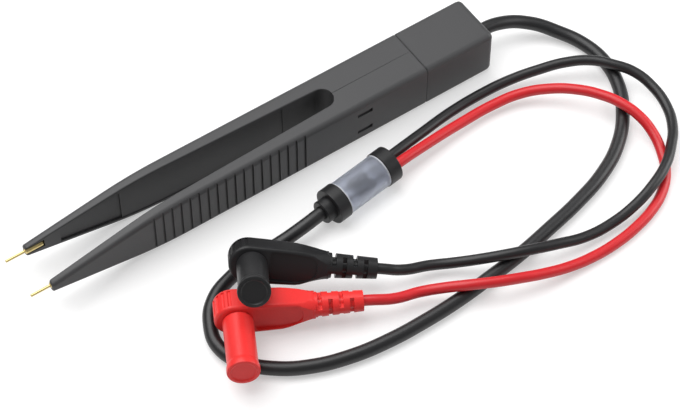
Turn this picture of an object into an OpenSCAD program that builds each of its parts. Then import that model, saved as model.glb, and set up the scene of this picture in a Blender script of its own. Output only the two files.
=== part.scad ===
// Test tweezers for surface-mount parts: two springy arms with needle contacts, a rear cap,
// a jacketed cable, a splice into two leads, and two right-angle plugs with dust caps.
// Millimetres. X runs from the needles (-X) to the cable (+X) and Z is up.
// The tweezers lie on their side, with the underside on Z = 0.

/* [Body] */
// Length from the needle points to the rear face of the cap
total_len = 160; // [150:1:175]
// Height of the body as it lies on its side
body_h = 16.5; // [15:0.5:20]
// Width of the body across both halves
body_w = 17.7; // [16.8:0.1:20]
// Radius of the long outer edges
edge_r = 1.8; // [0.8:0.1:2.4]
// Length of the closed body between the slot and the seam of the cap
bridge_len = 28.3; // [24:0.1:34]
// Width of the slot between the arms at its round end
slot_w = 7; // [6:0.1:8]
// Wall between the round end of the slot and the hollow behind it
slot_wall = 2; // [1.5:0.1:2.6]
// Wall of the tongues that the cap fits over
wall = 1.6; // [1.2:0.1:2]
// Clearance of pieces that are pushed together
seat_gap = 0.05; // [0.03:0.01:0.1]

/* [Rear cap] */
// Length of the cap
cap_len = 24.7; // [22:0.1:28]
// Side wall of the cap
cap_wall = 1.6; // [1.2:0.1:2]
// Rear wall of the cap
cap_rear_wall = 2; // [1.5:0.1:3]
// Width of the seam line between the cap and the halves
seam_gap = 0.15; // [0.1:0.05:0.3]
// Length of the tongues inside the cap
tongue_len = 16.7; // [14:0.1:18]

/* [Latch] */
// Length of a latch window in the side of the body
latch_len = 5.3; // [4.5:0.1:6]
// Height of a latch window
latch_h = 1.4; // [1.2:0.1:1.8]
// Distance between the two latch windows
latch_pitch = 7.5; // [6:0.1:8]
// Depth of a latch window down to its ledge
latch_depth = 1.2; // [1:0.1:1.6]
// Distance from the end of the slot to the latch windows
latch_offset = 3.3; // [2.9:0.1:5]

/* [Arms] */
// Gap between the inner faces at the tips
tip_gap = 12.8; // [12:0.1:13]
// Width of each tip
tip_w = 2.4; // [2.2:0.1:3]
// Height of each tip
tip_h = 3.6; // [3.2:0.1:4]
// Radius of the long edges at the tip
tip_r = 1; // [0.5:0.1:1]
// Radius of the edges along the inner faces
inner_edge_r = 0.5; // [0.2:0.1:0.6]
// Length over which each arm tapers to its tip
taper_len = 45.7; // [40:0.1:55]
// Length of the round shoulder at the start of the taper
shoulder_len = 18; // [10:1:25]
// Radius of the round seat on which each arm flexes
flex_r = 5; // [4.5:0.1:6]
// Running gap of the flex seat
flex_gap = 0.1; // [0.05:0.01:0.15]

/* [Grip] */
// Number of grooves on each outer face
groove_count = 18; // [10:1:18]
// Distance from one groove to the next
groove_pitch = 3.04; // [2.4:0.02:3.2]
// Width of a groove
groove_w = 0.8; // [0.5:0.1:1.2]
// Depth of a groove
groove_depth = 0.5; // [0.3:0.05:0.6]
// Distance from the end of the slot to the first groove
groove_offset = 15.4; // [14:0.1:18]

/* [Inner covers] */
// Thickness of a cover strip
cover_t = 0.8; // [0.7:0.05:0.9]
// Depth of a cover below the inner face
cover_recess = 0.2; // [0.1:0.05:0.25]
// Height of the step down to the front stretch of a cover
cover_step = 0.4; // [0.3:0.05:0.5]
// Length of the front stretch of a cover
cover_front_len = 19.7; // [15:0.1:24]
// Rim of the arm above and below its cover
cover_rim = 1.1; // [1:0.1:1.6]
// Distance from the end of the slot to a cover
cover_offset = 15; // [12:0.1:20]
// Distance from the end of the arm to its cover
cover_tip_offset = 11.2; // [11:0.1:14]
// Diameter of an insulated core
core_d = 1.1; // [0.9:0.1:1.2]

/* [Contact pins] */
// Diameter of the needle
needle_d = 0.85; // [0.6:0.05:1]
// Length of the needle in front of the arm
needle_len = 6.3; // [5:0.1:8]
// Diameter of the shank let into the tip
shank_d = 1.8; // [1.6:0.1:1.9]
// Length of the shank
shank_len = 6; // [5:0.1:7]
// Diameter of the solder tail
tail_d = 1; // [0.8:0.1:1.2]
// Distance from the inner face at the tip to the pin's axis
pin_inset = 0.7; // [0.65:0.05:0.8]

/* [Cable and leads] */
// Diameter of the jacketed cable
cable_d = 4.2; // [3.8:0.1:4.4]
// Length of the cable inside the cap
cable_tail_len = 14; // [12:0.1:16]
// Diameter of the collar that holds the cable in the cap
collar_d = 7.6; // [6:0.1:9]
// Diameter of each lead
lead_d = 3.2; // [2.8:0.1:3.3]

/* [Splice] */
// Diameter of the clear sleeve
sleeve_d = 10.6; // [10:0.1:10.8]
// Length of the sleeve that shows
sleeve_len = 15; // [13:0.1:18]
// Wall of the sleeve
sleeve_wall = 1; // [0.8:0.1:1.2]
// Diameter of the end caps
flange_d = 11.2; // [11:0.1:11.8]
// Length of each end cap outside the sleeve
flange_len = 4.4; // [3.8:0.1:5]
// Length of each end cap inside the sleeve
spigot_len = 2.5; // [2:0.1:4]
// Diameter of the neck on the cable side
neck_d = 7.2; // [6:0.1:8]
// Length of the neck
neck_len = 3.3; // [2:0.1:4]
// Distance between the two leads where they leave the splice
lead_pitch = 3.5; // [3.4:0.1:4]
// Diameter of the shrunk-on cover of each wire joint
joint_d = 3.3; // [2.4:0.1:3.3]

/* [Plugs] */
// Diameter of the contact
plug_pin_d = 4; // [3.9:0.05:4]
// Length of the contact in front of its shoulder
plug_pin_len = 19; // [18:0.5:19.5]
// Length of the slits that make the contact springy
plug_slit_len = 8; // [6:0.5:8.5]
// Outer diameter of the sheath
sheath_d = 7.8; // [7.6:0.1:7.8]
// Inner diameter of the sheath
sheath_bore = 6.3; // [6:0.1:6.5]
// Length of the sheath in front of the boot
sheath_len = 16.8; // [16:0.1:17]
// Length of the dust cap
dust_cap_len = 18.7; // [18.7:0.1:20]
// Diameter of the dust cap
dust_cap_d = 8.8; // [8.7:0.1:9]
// Diameter of the rim at the closed end of the dust cap
dust_rim_d = 9.4; // [9:0.1:9.6]
// Radius of the round head of the boot
head_r = 5.6; // [5.3:0.1:5.8]
// Thickness of the boot at its head
boot_depth = 7.7; // [7.4:0.1:7.9]
// Distance from the head's axis to the end of the strain relief
boot_len = 35.6; // [34:0.1:37]
// Length of the strain relief
relief_len = 13.6; // [12:0.1:16]
// Diameter of the strain relief where it meets the boot
relief_d = 7.6; // [7:0.1:7.8]
// Diameter of the strain relief at its end
relief_end_d = 6; // [5.6:0.1:6.4]
// Number of slots in the strain relief
relief_slots = 4; // [2:1:4]
// Width of a slot in the strain relief
relief_slot_w = 1.2; // [0.8:0.1:1.3]
// Number of grip flutes round the head
flute_count = 9; // [5:1:9]

/* [Hidden] */
$fn = 48;

shell_colour = "#3a3b3d";
cover_colour = "#2b2c2e";
gold_colour = "#d2b25a";
steel_colour = "#c9c9c4";
black_colour = "#1d1e20";
red_colour = "#d5262b";
sleeve_colour = "#b9bcc4";

// Stations along the tweezers
x_rear = total_len / 2;
x_seam = x_rear - cap_len;
x_slot = x_seam - bridge_len;
x_needle = -total_len / 2;
x_tip = x_needle + needle_len;
x_taper = x_tip + taper_len;
slot_r = slot_w / 2;
x_root = x_slot - slot_r;
z_mid = body_h / 2;

// Flex seat at the root of each arm
x_flex = x_root - flex_r;
y_flex = (slot_r + body_w / 2) / 2;

// Place of the wires where they enter the rear halves
channel_d = core_d + 2 * seat_gap;
core_depth = cover_recess + cover_t + channel_d / 2;
y_core = slot_r + core_depth;
core_end_gap = 0.5;
core_run = 6;

// Hollow in the rear halves, inside the tongues and wide enough for the wires
tongue_w = body_w - 2 * (cap_wall + seat_gap);
tongue_h = body_h - 2 * (cap_wall + seat_gap);
x_tongue = x_seam + tongue_len;
hollow_w = max(tongue_w - 2 * wall, 2 * y_core + channel_d);
hollow_h = tongue_h - 2 * wall;
x_hollow = x_slot + slot_wall;

// Latch hooks, a little smaller than their windows
x_latch = x_slot + latch_offset;
hook_gap = 0.15;
hook_h = latch_h - 2 * hook_gap;
hook_head_len = latch_len - 2 * hook_gap;
hook_shank_len = 0.62 * latch_len;
hook_head_t = 0.6 * latch_depth;

// Taper of the arms, straight from the tip and then a round shoulder
straight_len = taper_len - shoulder_len;
taper_slope = (body_h - tip_h) / 2 / (straight_len + shoulder_len / 2);
splay = (tip_gap / 2 - slot_r) / (x_root - x_tip);
nose_len = 0.6;
nose_inset = 0.35;
section_t = 0.5;
skin = 0.02;

// Wire channel behind the covers
cover_back = cover_recess + cover_t;
x_cover = x_slot - cover_offset;
x_cover_end = x_tip + cover_tip_offset;
x_cover_step = x_cover_end + cover_front_len;

// Contact pins
pin_y = tip_gap / 2 + pin_inset;
x_shank_end = x_tip + shank_len;
tail_len = cover_tip_offset - shank_len;
pin_chamfer = 0.15;

// Splice, which lies on the table with its neck at the end of the cable
splice_end = [4.4, -27.8, flange_d / 2];
splice_heading = 8;
splice_len = neck_len + 2 * flange_len + sleeve_len;
sleeve_x = neck_len + flange_len;
spigot_d = sleeve_d - 2 * sleeve_wall - 2 * seat_gap;

// Plugs, each placed by the end of its strain relief, as they lie in a pile
black_end = [5.8, -53.6, 7.2];
black_turn = [57.9, 7, -34.2];
red_end = [-3.4, -60.1, 6.6];
red_turn = [82.3, 1.1, -27.9];
face_z = boot_depth / 2;
socket_floor = face_z - 3;
shoulder_d = 6;
shoulder_t = 2.5;
collar_r = plug_pin_d / 2 + 0.4;
sheath_floor = 1;
boot_round = 1;
dust_cap_gap = 0.2;
dust_wall_end = 1.6;
dust_dish = 0.4;
slit_w = 0.5;
flute_r = 0.5;
relief_core_d = lead_d + 0.6;
neck_x = boot_len - relief_len;
head_x = -1;
waist_x = [0.57 * neck_x, 0.78 * neck_x];
waist_y = [-0.06 * head_r, -0.04 * head_r];
waist_h = [1.91 * head_r, 1.55 * head_r];
waist_w = [0.94 * boot_depth, 0.86 * boot_depth];
waist_r = 1.6;
relief_web = 2.4;
panel_depth = 0.9;
panel_rim = 0.9;
panel_start = head_r - 0.6;
panel_end = waist_x[1] + 1.2;

// Routes of the cable and leads, as they lie
cable_route = concat(
    [[x_rear, 0, z_mid]],
    [[88, -0.5, 7.9], [97.5, -4, 5.3], [104, -10.5, 3], [108, -18, 2.1], [109, -27, 2.1],
     [107, -36, 2.1], [101.5, -45.5, 2.1], [92.5, -54.5, 2.1], [82, -60.5, 2.1], [70, -64.5, 2.1],
     [57, -67.5, 2.1], [44.5, -70, 2.1], [33, -71.5, 2.1], [20.5, -72.8, 2.1], [8.5, -73.2, 2.1],
     [-3.5, -72.8, 2.1], [-15.5, -71, 2.1], [-26, -67.6, 2.1], [-34.5, -62.6, 2.1], [-40.8, -56, 2.1],
     [-43.8, -48.1, 2.1], [-41.7, -40, 2.1], [-36.5, -33.6, 2.1], [-28, -29.8, 2.1], [-18.5, -28.2, 2.1],
     [-9, -28.4, 3.4], [-3, -28.6, 5]],
    [splice_end]
);
black_route = concat(
    [splice_point([splice_len, lead_pitch / 2, 0])],
    [[45.5, -19.6, 4.4], [58, -17.4, 3.4], [70, -16.8, 3.2], [80, -17.6, 3.6], [89, -19.9, 4.6],
     [97, -22.9, 5.6], [103.5, -27, 6.2], [108, -32, 6.2], [112, -37.5, 5.3], [113.8, -44.5, 3.9],
     [113, -52, 3.1], [109.5, -59, 3.4], [104, -65, 4.4], [97.5, -70.2, 5.2], [90, -73.7, 5],
     [82, -75.7, 3.7], [73, -76.5, 2.7], [63.5, -76.3, 3.2], [54, -74.6, 5], [46.5, -72.6, 6.1],
     [40.5, -70.4, 6.2], [33.5, -66.8, 5.2], [27, -62.7, 3.7], [20.2, -59.2, 3.6], [12.5, -57.1, 5.2]],
    [black_end]
);
red_route = concat(
    [splice_point([splice_len, -lead_pitch / 2, 0])],
    [[46.5, -23.6, 4.3], [58.5, -22.4, 3.3], [70, -22.2, 3.2], [79.5, -23.8, 3.8], [87, -27.8, 4.9],
     [93, -33.2, 5.9], [97.5, -39, 6.3], [100.7, -45.3, 6.3], [102.7, -51.8, 5.2], [103, -58, 3.4],
     [101.5, -64, 2], [98, -70.3, 1.6], [92.5, -75.4, 1.6], [86, -78.8, 1.6], [78.5, -81, 1.6],
     [70.5, -82.2, 1.6], [62, -82.4, 1.8], [53.5, -81.8, 2.8], [45.5, -80.5, 4.4], [38, -78.5, 5.8],
     [31.5, -76, 6.3], [25, -72.7, 6.2], [19, -68.8, 5], [12.7, -65.6, 4.3], [4.9, -64, 5.5]],
    [red_end]
);
out_of_cap = [1, 0, 0];
along_splice = [cos(splice_heading), sin(splice_heading), 0];

// Half-height, inner face, outer face and edge radius of an arm at x
function half_height(x) =
    let (s = x - x_tip)
    s <= straight_len ? tip_h / 2 + taper_slope * s :
    s >= taper_len ? body_h / 2 :
    body_h / 2 - taper_slope * pow(taper_len - s, 2) / (2 * shoulder_len);
function inner_y(x) = slot_r + splay * (x_root - x);
function outer_y(x) =
    let (s = min(x - x_tip, taper_len), tip_y = tip_gap / 2 + tip_w)
    tip_y + (body_w / 2 - tip_y) * s / taper_len;
function outer_r(x) = tip_r + (edge_r - tip_r) * min(x - x_tip, taper_len) / taper_len;

// Direction in which a plug's strain relief points, and a point on the splice
function relief_way(turn) =
    [cos(turn[1]) * cos(turn[2]), cos(turn[1]) * sin(turn[2]), -sin(turn[1])];
function splice_point(p) =
    splice_end + [p[0] * cos(splice_heading) - p[1] * sin(splice_heading),
                  p[0] * sin(splice_heading) + p[1] * cos(splice_heading), p[2]];

// Rings of a tube along a route: the way it runs at each point, and its corners there
function unit(v) = v / norm(v);
function way_at(route, i, first, last) =
    i == 0 ? first : i == len(route) - 1 ? last : unit(route[i + 1] - route[i - 1]);
function ring_at(p, way, r, sides) =
    let (across = unit(cross([0, 0, 1], way)), over = cross(way, across))
    [for (k = [0:sides - 1]) p + r * (cos(360 * k / sides) * across + sin(360 * k / sides) * over)];

module tube(route, d, sides, first, last) {
    count = len(route);
    points = [for (i = [0:count - 1]) each ring_at(route[i], way_at(route, i, first, last), d / 2, sides)];
    skin_faces = [
        for (i = [0:count - 2], k = [0:sides - 1])
            let (a = i * sides + k, b = i * sides + (k + 1) % sides)
            each [[a, a + sides, b + sides], [a, b + sides, b]]
    ];
    ends = [[for (k = [0:sides - 1]) k], [for (k = [sides - 1:-1:0]) (count - 1) * sides + k]];
    polyhedron(points, concat(skin_faces, ends));
}

module rounded_rect(w, h, r) {
    square([w - 2 * r, h], center = true);
    square([w, h - 2 * r], center = true);
    for (sx = [-1, 1], sy = [-1, 1])
        translate([sx * (w / 2 - r), sy * (h / 2 - r)]) circle(r = r);
}

// A bar along X from x0 to x1, with its section centred on the body's axis
module bar(x0, x1) {
    translate([x0, 0, z_mid]) rotate([90, 0, 90]) linear_extrude(x1 - x0) children();
}

// A round rod from p to q
module rod(p, q, d) {
    v = q - p;
    translate(p) rotate([0, acos(v[2] / norm(v)), atan2(v[1], v[0])]) cylinder(d = d, h = norm(v));
}

// The left side (+Y) as drawn, or the right side as its mirror image
module on_side(side) {
    if (side == "left") children();
    else mirror([0, 1, 0]) children();
}

// Slab parallel to an arm's inner face, between two depths below it
module inner_slab(x0, x1, d0, d1, h) {
    translate([0, 0, z_mid - h / 2]) linear_extrude(h)
        polygon([[x0, inner_y(x0) + d0], [x1, inner_y(x1) + d0],
                 [x1, inner_y(x1) + d1], [x0, inner_y(x0) + d1]]);
}

// Side view of an arm between two stations, with a rim taken off above and below
module side_view(x0, x1, rim) {
    bends = [for (x = taper_stations()) if (x < x0 && x > x1) x];
    xs = concat([x0], bends, [x1]);
    translate([0, body_w, z_mid]) rotate([90, 0, 0]) linear_extrude(body_w)
        polygon(concat([for (x = xs) [x, half_height(x) - rim]],
                       [for (i = [len(xs) - 1:-1:0]) [xs[i], rim - half_height(xs[i])]]));
}

function taper_stations() = [for (i = [0:5]) x_taper - shoulder_len * i / 5];

// Four rounded corners of an arm's section at x, pulled in by an inset
module arm_section(x, inset) {
    for (s = [-1, 1]) {
        r = outer_r(x);
        translate([x, outer_y(x) - inset - r, z_mid + s * (half_height(x) - inset - r)])
            rotate([0, 90, 0]) cylinder(r = r, h = section_t, $fn = 32);
        translate([x, inner_y(x) + inset + inner_edge_r,
                   z_mid + s * (half_height(x) - inset - inner_edge_r)])
            rotate([0, 90, 0]) cylinder(r = inner_edge_r, h = section_t, $fn = 32);
    }
}

// Top view that an arm keeps inside: everything in front of the flex seat, and its round end
module flex_outline() {
    polygon(concat(
        [[x_needle, y_flex - flex_r]],
        [for (a = [-90:7.5:90]) [x_flex + flex_r * cos(a), y_flex + flex_r * sin(a)]],
        [[x_needle, y_flex + flex_r]]
    ));
}

module arm_blank() {
    intersection() {
        hull() {
            arm_section(x_tip, nose_inset);
            for (x = concat([x_root + 1, x_tip + nose_len], taper_stations())) arm_section(x, 0);
        }
        translate([0, 0, -1]) linear_extrude(body_h + 2) flex_outline();
    }
}

// Front of a moulded half: tapered, grooved outside, rebated and channelled inside
module arm(side) {
    color(shell_colour) on_side(side) difference() {
        arm_blank();
        for (i = [0:groove_count - 1]) {
            x = x_slot - groove_offset - i * groove_pitch;
            translate([x - groove_w / 2, outer_y(x) - groove_depth, -1])
                cube([groove_w, body_w, body_h + 2]);
        }
        intersection() {
            inner_slab(x_cover + seat_gap, x_cover_end - seat_gap, -1, cover_back, body_h);
            side_view(x_cover + seat_gap, x_cover_end - seat_gap, cover_rim - seat_gap);
        }
        inner_slab(x_root + 1, x_cover_end, cover_back - skin, cover_back + channel_d, channel_d);
        translate([x_tip - 1, pin_y, z_mid]) rotate([0, 90, 0])
            cylinder(d = shank_d + 2 * seat_gap, h = shank_len + 1 + seat_gap);
        translate([x_tip - 1, 0, z_mid - shank_d / 2 - seat_gap])
            cube([shank_len + 1 + seat_gap, pin_y, shank_d + 2 * seat_gap]);
        translate([x_shank_end, pin_y, z_mid]) rotate([0, 90, 0])
            cylinder(d = tail_d + 2 * seat_gap, h = tail_len + seat_gap);
    }
}

// Strip let into the inner face of an arm, over its wire
module inner_cover(side) {
    color(cover_colour) on_side(side) intersection() {
        union() {
            inner_slab(x_cover, x_cover_step, cover_recess, cover_back, body_h);
            inner_slab(x_cover_step + cover_step, x_cover_end, cover_recess + cover_step, cover_back, body_h);
        }
        side_view(x_cover, x_cover_end, cover_rim);
    }
}

// Turned pin: needle, shank and solder tail
module contact_pin(side) {
    shank_r = shank_d / 2;
    needle_r = needle_d / 2;
    end = needle_len + shank_len;
    color(gold_colour) on_side(side) translate([x_needle, pin_y, z_mid]) rotate([0, 90, 0])
        rotate_extrude() polygon([
            [0, 0], [needle_r - pin_chamfer, 0], [needle_r, pin_chamfer], [needle_r, needle_len],
            [shank_r - pin_chamfer, needle_len], [shank_r, needle_len + pin_chamfer],
            [shank_r, end - shank_r / 2], [tail_d / 2, end], [tail_d / 2, end + tail_len], [0, end + tail_len]
        ]);
}

// Wire in the channel of an arm
module arm_core(side) {
    x0 = x_root - core_end_gap;
    x1 = x_cover_end + seat_gap;
    color(side == "left" ? red_colour : black_colour) on_side(side)
        rod([x0, inner_y(x0) + core_depth, z_mid], [x1, inner_y(x1) + core_depth, z_mid], core_d);
}

// Wire from the root of an arm to the end of the cable's jacket
module rear_core(side) {
    y_jacket = core_d / 2 + seat_gap;
    x_jacket = x_rear - cable_tail_len;
    path = [[x_root + core_end_gap, y_core, z_mid], [x_latch + latch_len + core_run / 2, y_core, z_mid],
            [x_jacket - core_run, y_jacket, z_mid], [x_jacket, y_jacket, z_mid]];
    color(side == "left" ? red_colour : black_colour) on_side(side)
        tube(path, core_d, 16, [1, 0, 0], [1, 0, 0]);
}

// Rear of a moulded half without its latch: half of the closed body and of the tongue
module rear_blank() {
    difference() {
        union() {
            bar(x_flex, x_seam) rounded_rect(body_w, body_h, edge_r);
            bar(x_seam, x_tongue) rounded_rect(tongue_w, tongue_h, edge_r);
        }
        translate([x_flex - 1, -body_w, -1]) cube([x_tongue - x_flex + 2, body_w, body_h + 2]);
        translate([x_root, 0, -1]) cylinder(r = slot_r, h = body_h + 2);
        translate([x_flex - 1, -slot_r, -1]) cube([x_root - x_flex + 1, 2 * slot_r, body_h + 2]);
        translate([x_flex, y_flex, -1]) cylinder(r = flex_r + flex_gap, h = body_h + 2);
        translate([x_hollow, -1, z_mid - hollow_h / 2])
            cube([x_tongue - wall - x_hollow, hollow_w / 2 + 1, hollow_h]);
        translate([x_flex, y_core, z_mid]) rotate([0, 90, 0])
            cylinder(d = channel_d, h = x_hollow + 1 - x_flex);
        translate([x_tongue - wall - 1, 0, z_mid]) rotate([0, 90, 0])
            cylinder(d = cable_d + 2 * seat_gap, h = wall + 2);
    }
}

// Left half, with the two hooks that snap into the right half's windows
module left_rear_half() {
    x_mid = x_latch + latch_len / 2;
    y_ledge = body_w / 2 - latch_depth;
    color(shell_colour) {
        rear_blank();
        for (s = [-1, 1]) translate([x_mid, 0, z_mid + s * latch_pitch / 2]) {
            translate([-hook_shank_len / 2, -y_ledge - hook_head_t, -hook_h / 2])
                cube([hook_shank_len, y_ledge + hook_head_t + hollow_w / 2 + skin, hook_h]);
            translate([-hook_head_len / 2, -y_ledge - hook_head_t, -hook_h / 2])
                cube([hook_head_len, hook_head_t - seat_gap, hook_h]);
        }
    }
}

// Right half, with two stepped windows for the hooks
module right_rear_half() {
    x_mid = x_latch + latch_len / 2;
    slot_len = hook_shank_len + 2 * hook_gap;
    color(shell_colour) difference() {
        mirror([0, 1, 0]) rear_blank();
        for (s = [-1, 1]) translate([x_mid, 0, z_mid + s * latch_pitch / 2]) {
            translate([-latch_len / 2, -body_w / 2 - 1, -latch_h / 2]) cube([latch_len, latch_depth + 1, latch_h]);
            translate([-slot_len / 2, -body_w / 2 - 1, -latch_h / 2])
                cube([slot_len, body_w / 2 - hollow_w / 2 + 1 + skin, latch_h]);
        }
    }
}

// Square cap with soft rear corners and the cable's hole
module rear_cap() {
    x0 = x_seam + seam_gap;
    depth = x_rear - x0;
    color(shell_colour) difference() {
        intersection() {
            bar(x0, x_rear) rounded_rect(body_w, body_h, edge_r);
            translate([x_rear - depth, 0, 0]) linear_extrude(body_h) rounded_rect(2 * depth, body_w, edge_r);
            translate([x_rear - depth, body_w / 2, z_mid]) rotate([90, 0, 0]) linear_extrude(body_w)
                rounded_rect(2 * depth, body_h, edge_r);
        }
        bar(x0 - 1, x_rear - cap_rear_wall)
            rounded_rect(tongue_w + 2 * seat_gap, tongue_h + 2 * seat_gap, edge_r);
        translate([x_rear - cap_rear_wall - 1, 0, z_mid]) rotate([0, 90, 0])
            cylinder(d = cable_d + 2 * seat_gap, h = cap_rear_wall + 2);
    }
}

// End of the cable inside the cap
module cable_tail() {
    color(black_colour) translate([x_rear - cable_tail_len, 0, z_mid]) rotate([0, 90, 0])
        cylinder(d = cable_d, h = cable_tail_len);
}

// Ring on the cable, held between the tongues and the rear wall of the cap
module cable_collar() {
    x0 = x_tongue + seat_gap;
    x1 = x_rear - cap_rear_wall - seat_gap;
    color(black_colour) translate([x0, 0, z_mid]) rotate([0, 90, 0]) difference() {
        cylinder(d = collar_d, h = x1 - x0);
        translate([0, 0, -1]) cylinder(d = cable_d + 2 * seat_gap, h = x1 - x0 + 2);
    }
}

module main_cable() {
    color(black_colour) tube(cable_route, cable_d, 10, out_of_cap, along_splice);
}

module black_lead() {
    color(black_colour) tube(black_route, lead_d, 8, along_splice, -relief_way(black_turn));
}

module red_lead() {
    color(red_colour) tube(red_route, lead_d, 8, along_splice, -relief_way(red_turn));
}

// End cap on the cable side: neck, flange and spigot
module splice_cable_cap() {
    color(black_colour) translate(splice_end) rotate([0, 90, splice_heading]) {
        cylinder(d = neck_d, h = neck_len);
        translate([0, 0, neck_len]) cylinder(d = flange_d, h = flange_len);
        translate([0, 0, sleeve_x]) cylinder(d = spigot_d, h = spigot_len);
    }
}

// Clear sleeve over both spigots
module splice_sleeve() {
    color(sleeve_colour) translate(splice_end) rotate([0, 90, splice_heading])
        translate([0, 0, sleeve_x]) difference() {
            cylinder(d = sleeve_d, h = sleeve_len);
            translate([0, 0, -1]) cylinder(d = sleeve_d - 2 * sleeve_wall, h = sleeve_len + 2);
        }
}

// End cap on the side of the leads: spigot and flange
module splice_lead_cap() {
    color(black_colour) translate(splice_end) rotate([0, 90, splice_heading]) {
        translate([0, 0, sleeve_x + sleeve_len - spigot_len]) cylinder(d = spigot_d, h = spigot_len);
        translate([0, 0, sleeve_x + sleeve_len]) cylinder(d = flange_d, h = flange_len);
    }
}

// Soldered wire joint under its shrunk-on cover, between the two spigots
module splice_joint(side) {
    span = sleeve_len - 2 * spigot_len;
    r = joint_d / 2;
    y = (side == "black" ? 1 : -1) * lead_pitch / 2;
    color(side == "black" ? black_colour : red_colour)
        translate(splice_point([sleeve_x + spigot_len, y, 0])) rotate([0, 90, splice_heading])
            rotate_extrude() polygon([
                [0, 0], [core_d / 2, 0], [core_d / 2, span * 0.15], [r, span * 0.25],
                [r, span * 0.8], [core_d / 2, span * 0.9], [core_d / 2, span], [0, span]
            ]);
}

// Places a plug: +X along its strain relief, +Z along its contact, origin where they cross
module on_plug(end, turn) {
    translate(end) rotate(turn) translate([-boot_len, 0, 0]) children();
}

// Outline of the grip panel sunk into each face of a boot, a rim inside the boot's own outline
function panel_edge(side) = [
    [panel_start, side * (head_r - panel_rim - 0.2)],
    [waist_x[0], waist_y[0] + side * (waist_h[0] / 2 - panel_rim)],
    [waist_x[1], waist_y[1] + side * (waist_h[1] / 2 - panel_rim)],
    [panel_end, waist_y[1] + side * (waist_h[1] / 2 - 3 * panel_rim)]
];

// Right-angle boot: round fluted head, tapered body with grip panels, and slotted strain relief
module plug_boot(end, turn, colour) {
    pitch = relief_len / (relief_slots + 0.5);
    color(colour) on_plug(end, turn) difference() {
        union() {
            hull() {
                for (inset = [0, boot_round])
                    translate([head_x, 0, inset - face_z])
                        cylinder(r = head_r - boot_round + inset, h = boot_depth - 2 * inset);
                for (i = [0, 1])
                    translate([waist_x[i], waist_y[i], 0]) rotate([90, 0, 90])
                        linear_extrude(skin) rounded_rect(waist_h[i], waist_w[i], waist_r);
                translate([neck_x, 0, 0]) rotate([0, 90, 0]) cylinder(d = relief_d, h = skin, $fn = 32);
            }
            translate([neck_x, 0, 0]) rotate([0, 90, 0])
                cylinder(d1 = relief_d, d2 = relief_end_d, h = relief_len);
        }
        for (i = [0:relief_slots - 1], s = [0, 180])
            translate([neck_x + (i + 0.4) * pitch, 0, 0]) rotate([s + 90 * (i % 2), 0, 0]) difference() {
                translate([-relief_slot_w / 2, relief_web / 2, -relief_d])
                    cube([relief_slot_w, relief_d, 2 * relief_d]);
                translate([-relief_slot_w, 0, 0]) rotate([0, 90, 0])
                    cylinder(d = relief_core_d, h = 2 * relief_slot_w);
            }
        for (face = [0, 1]) mirror([0, 0, face]) translate([0, 0, face_z - panel_depth])
            linear_extrude(face_z) polygon([for (p = panel_edge(1)) p, for (i = [3:-1:0]) panel_edge(-1)[i]]);
        for (i = [0:flute_count - 1])
            translate([head_x, 0, -boot_depth]) rotate([0, 0, 90 + 180 * (i + 0.5) / flute_count])
                translate([head_r, 0, 0]) cylinder(r = flute_r, h = 2 * boot_depth);
        translate([0, 0, socket_floor]) cylinder(d = sheath_d + 2 * seat_gap, h = boot_depth);
        translate([0, 0, socket_floor - shoulder_t]) cylinder(d = shoulder_d + 2 * seat_gap, h = boot_depth);
    }
}

// Shroud round the contact, with a floor that holds the contact's shoulder
module plug_sheath(end, turn, colour) {
    h = face_z + sheath_len - socket_floor;
    color(colour) on_plug(end, turn) translate([0, 0, socket_floor]) difference() {
        cylinder(d = sheath_d, h = h);
        translate([0, 0, sheath_floor]) cylinder(d = sheath_bore, h = h);
        translate([0, 0, -1]) cylinder(r = collar_r + seat_gap, h = h);
    }
}

// Contact with a shoulder and collar held in the boot, a bevelled nose and crossed slits
module plug_pin(end, turn) {
    r = plug_pin_d / 2;
    nose = r / 2;
    color(steel_colour) on_plug(end, turn) translate([0, 0, socket_floor]) difference() {
        rotate_extrude() polygon([
            [0, -shoulder_t], [shoulder_d / 2, -shoulder_t], [shoulder_d / 2, 0], [collar_r, 0],
            [collar_r, sheath_floor], [r, sheath_floor], [r, plug_pin_len - nose], [r - nose, plug_pin_len],
            [0, plug_pin_len]
        ]);
        for (a = [0, 90]) rotate([0, 0, a])
            translate([-slit_w / 2, -plug_pin_d, plug_pin_len - plug_slit_len])
                cube([slit_w, 2 * plug_pin_d, plug_slit_len + 1]);
    }
}

// Closed cap over the sheath, with a flared rim and a dished end
module dust_cap(end, turn, colour) {
    r = dust_cap_d / 2;
    rim = dust_rim_d / 2;
    bore = sheath_d / 2 + seat_gap;
    h = dust_cap_len - dust_cap_gap;
    color(colour) on_plug(end, turn) translate([0, 0, face_z + dust_cap_gap]) rotate_extrude() polygon([
        [bore, 0], [r, 0], [r, h - 3], [rim, h - 1.6], [rim, h - 0.3], [rim - 0.3, h],
        [rim - 1, h], [rim - 1 - dust_dish, h - dust_dish], [0, h - dust_dish],
        [0, h - dust_wall_end], [bore, h - dust_wall_end]
    ]);
}

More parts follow.
